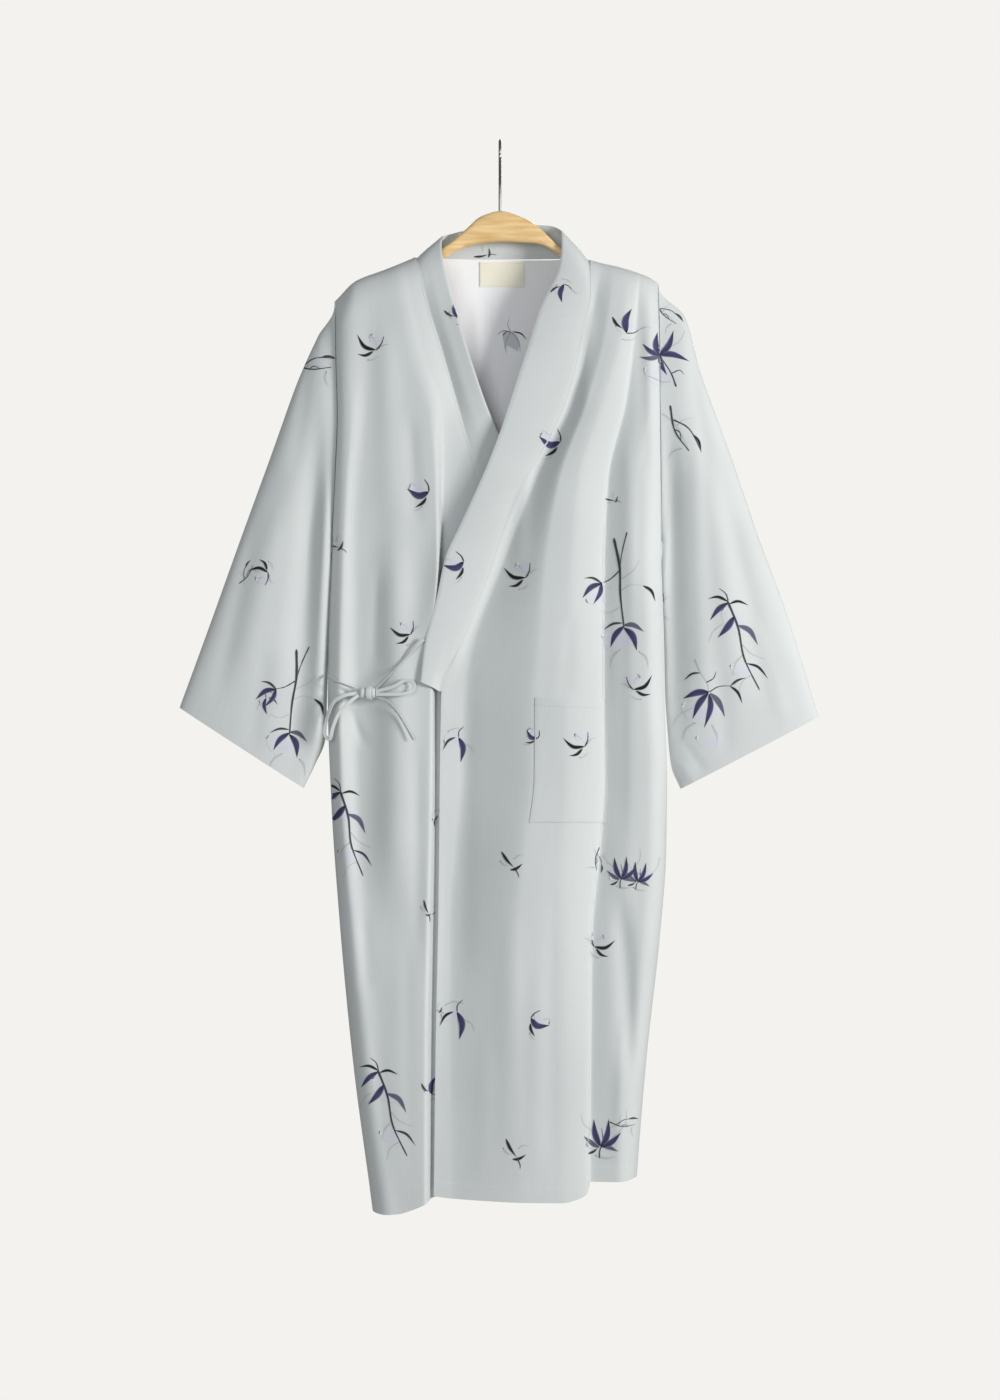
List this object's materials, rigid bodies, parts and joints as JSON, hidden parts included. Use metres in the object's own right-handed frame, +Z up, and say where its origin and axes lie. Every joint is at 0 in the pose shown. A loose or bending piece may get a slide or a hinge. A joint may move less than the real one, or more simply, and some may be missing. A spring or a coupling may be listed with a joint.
{
  "type": "silk robe on a hanger",
  "caption": "wrap robe with collar band, wide sleeves, patch pocket and side tie, hung flat on a contoured wood hanger with a wire hook",
  "frame": {"origin": "inside top of the hanger's hook, where a rail bears", "axes": "+Z up, the front of the robe faces -Y, +X towards the sleeve on the viewer's right"},
  "size_m": [0.7676, 0.0735, 1.2874],
  "materials": {
    "silk": "smooth pale silver-green printed silk with a soft sheen",
    "label": "matt cream woven tab, bare",
    "wood": "pale beech, thin satin lacquer",
    "wire": "drawn steel wire"
  },
  "bodies": {
    "root": {"front_right": "silk", "front_left": "silk", "back": "silk", "collar_band": "silk", "sleeve_right": "silk", "sleeve_left": "silk", "pocket": "silk", "label": "label", "tie_side": "silk", "tie_front": "silk", "tie_knot": "silk", "tie_loop_side": "silk", "tie_loop_front": "silk", "tie_tail": "silk", "hanger_bar": "wood", "hanger_hook": "wire"}
  },
  "joints": []
}
